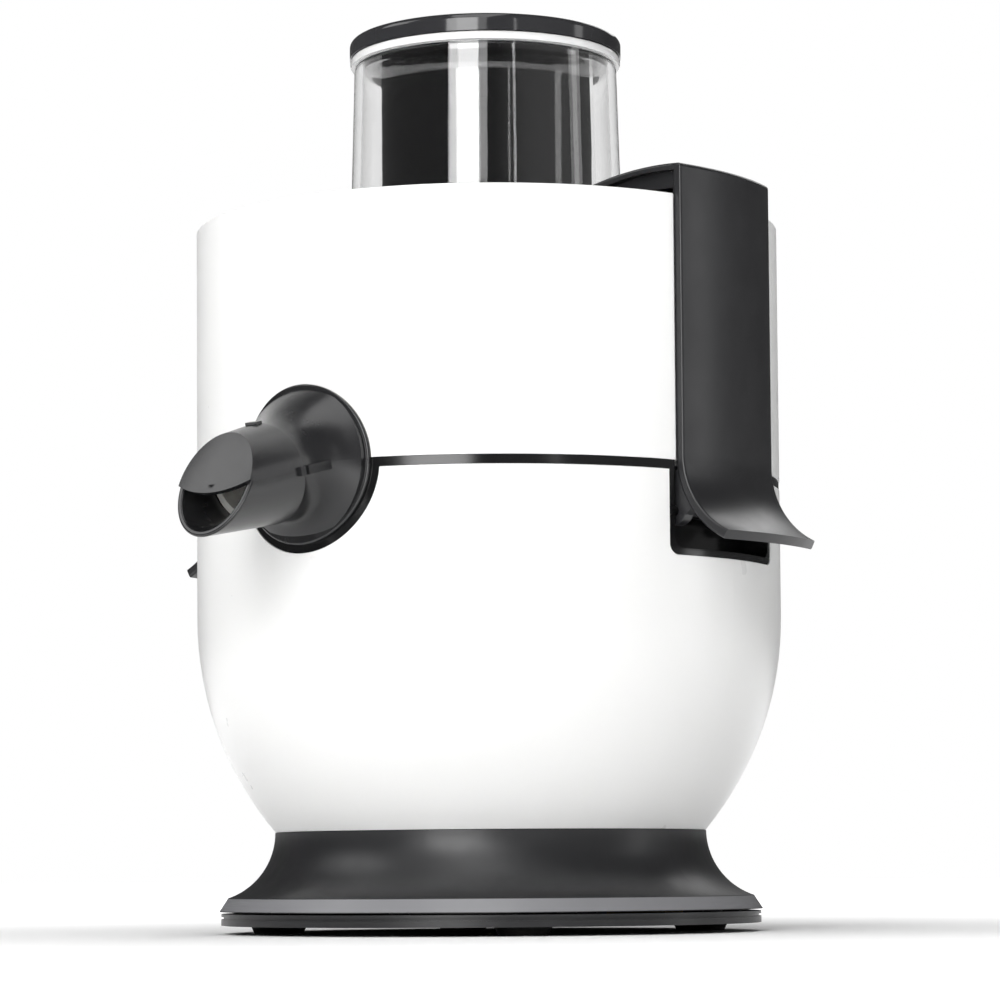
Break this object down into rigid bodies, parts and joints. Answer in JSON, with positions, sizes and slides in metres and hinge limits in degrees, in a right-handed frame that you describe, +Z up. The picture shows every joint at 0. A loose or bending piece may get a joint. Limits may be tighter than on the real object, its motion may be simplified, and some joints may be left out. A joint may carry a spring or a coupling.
{
  "type": "centrifugal juicer",
  "caption": "Worktop centrifugal juicer: white drum body on a dark flared foot, clear feed tube with black pusher, side clamps over the lid, and a turning spout.",
  "frame": {"origin": "on the spin axis, in the plane that the feet stand on", "axes": "+Z up along the spin axis, -Y towards the spout, the clamps at +X and -X, the knob at -X"},
  "size_m": [0.2598, 0.2736, 0.3385],
  "materials": {
    "white_shell": "satin gloss",
    "dark_plastic": "fine satin grain",
    "black_frame": "semi gloss",
    "clear_plastic": "clear polished",
    "pusher_black": "semi gloss",
    "rubber": "matte",
    "silicone": "translucent matte",
    "bowl_plastic": "satin",
    "stainless": "fine brushed",
    "zinc_steel": "bright zinc",
    "bearing_steel": "polished",
    "lamination": "raw sheet edges",
    "copper": "enamelled wire",
    "brass": "stamped",
    "carbon": "pressed carbon",
    "grey_plastic": "matte",
    "die_cast": "as cast",
    "filter_yellow": "moulded case",
    "pointer_white": "matte"
  },
  "bodies": {
    "machine": {"base_screws": "zinc_steel", "bottom_plate": "dark_plastic", "brush_holder_left": "brass", "brush_holder_right": "brass", "brush_spring_left": "zinc_steel", "brush_spring_right": "zinc_steel", "carbon_brush_left": "carbon", "carbon_brush_right": "carbon", "cord_clamp": "grey_plastic", "cord_gland": "rubber", "field_coil_front": "copper", "field_coil_rear": "copper", "flared_foot": "dark_plastic", "foot_front_left": "rubber", "foot_front_right": "rubber", "foot_rear_left": "rubber", "foot_rear_right": "rubber", "inner_frame": "black_frame", "interlock_switch_left": "grey_plastic", "interlock_switch_right": "grey_plastic", "juice_collector": "bowl_plastic", "knob_bezel": "black_frame", "lid": "clear_plastic", "lid_seal": "silicone", "lower_bearing": "bearing_steel", "lower_shell": "white_shell", "motor_bolts": "zinc_steel", "motor_lower_bracket": "die_cast", "motor_mounts": "rubber", "motor_stator": "lamination", "motor_upper_bracket": "die_cast", "noise_filter": "filter_yellow", "pivot_pins": "zinc_steel", "shaft_seal": "rubber", "speed_switch": "grey_plastic", "spout_bell": "dark_plastic", "spout_seal": "silicone", "upper_bearing": "bearing_steel", "upper_housing": "white_shell"},
    "rotor": {"motor_shaft": "bearing_steel", "armature_core": "lamination", "armature_windings": "copper", "commutator": "copper", "cooling_fan": "grey_plastic", "drive_coupling": "grey_plastic", "basket_hub": "grey_plastic", "strainer_mesh": "stainless", "basket_rim": "white_shell", "grater_disc": "stainless", "disc_nut": "stainless"},
    "pusher": {"pusher_body": "pusher_black", "pusher_cap": "pusher_black"},
    "nozzle": {"spout_nozzle": "dark_plastic"},
    "knob": {"speed_knob": "dark_plastic", "knob_pointer": "pointer_white", "knob_spindle": "zinc_steel"},
    "lever_right": {"clamp_right": "dark_plastic"},
    "lever_left": {"clamp_left": "dark_plastic"},
    "plunger_right": {"interlock_plunger_right": "grey_plastic"},
    "plunger_left": {"interlock_plunger_left": "grey_plastic"}
  },
  "joints": [
    {"name": "basket_spin", "type": "hinge", "parent": "machine", "child": "rotor", "pos_m": [0, 0, 0.15], "axis": [0, 0, 1], "continuous": true},
    {"name": "pusher_lift", "type": "slide", "parent": "machine", "child": "pusher", "axis": [0, 0, 1], "range_m": [0, 0.1]},
    {"name": "nozzle_turn", "type": "hinge", "parent": "machine", "child": "nozzle", "pos_m": [0, -0.11, 0.1671], "axis": [0, -0.9703, -0.2419], "range_deg": [0, 180]},
    {"name": "knob_turn", "type": "hinge", "parent": "machine", "child": "knob", "pos_m": [-0.1118, 0, 0.092], "axis": [-1, 0, 0], "range_deg": [0, 90]},
    {"name": "clamp_right_swing", "type": "hinge", "parent": "machine", "child": "lever_right", "pos_m": [0.104, 0, 0.15], "axis": [0, 1, 0], "range_deg": [0, 45]},
    {"name": "plunger_right_travel", "type": "slide", "parent": "machine", "child": "plunger_right", "axis": [1, 0, 0], "range_m": [0, 0.0025]},
    {"name": "clamp_left_swing", "type": "hinge", "parent": "machine", "child": "lever_left", "pos_m": [-0.104, 0, 0.15], "axis": [0, -1, 0], "range_deg": [0, 45]},
    {"name": "plunger_left_travel", "type": "slide", "parent": "machine", "child": "plunger_left", "axis": [-1, 0, 0], "range_m": [0, 0.0025]}
  ],
  "couplings": [
    {"joint": "plunger_right_travel", "follows": "clamp_right_swing", "m_per_rad": 0.00318},
    {"joint": "plunger_left_travel", "follows": "clamp_left_swing", "m_per_rad": 0.00318}
  ]
}
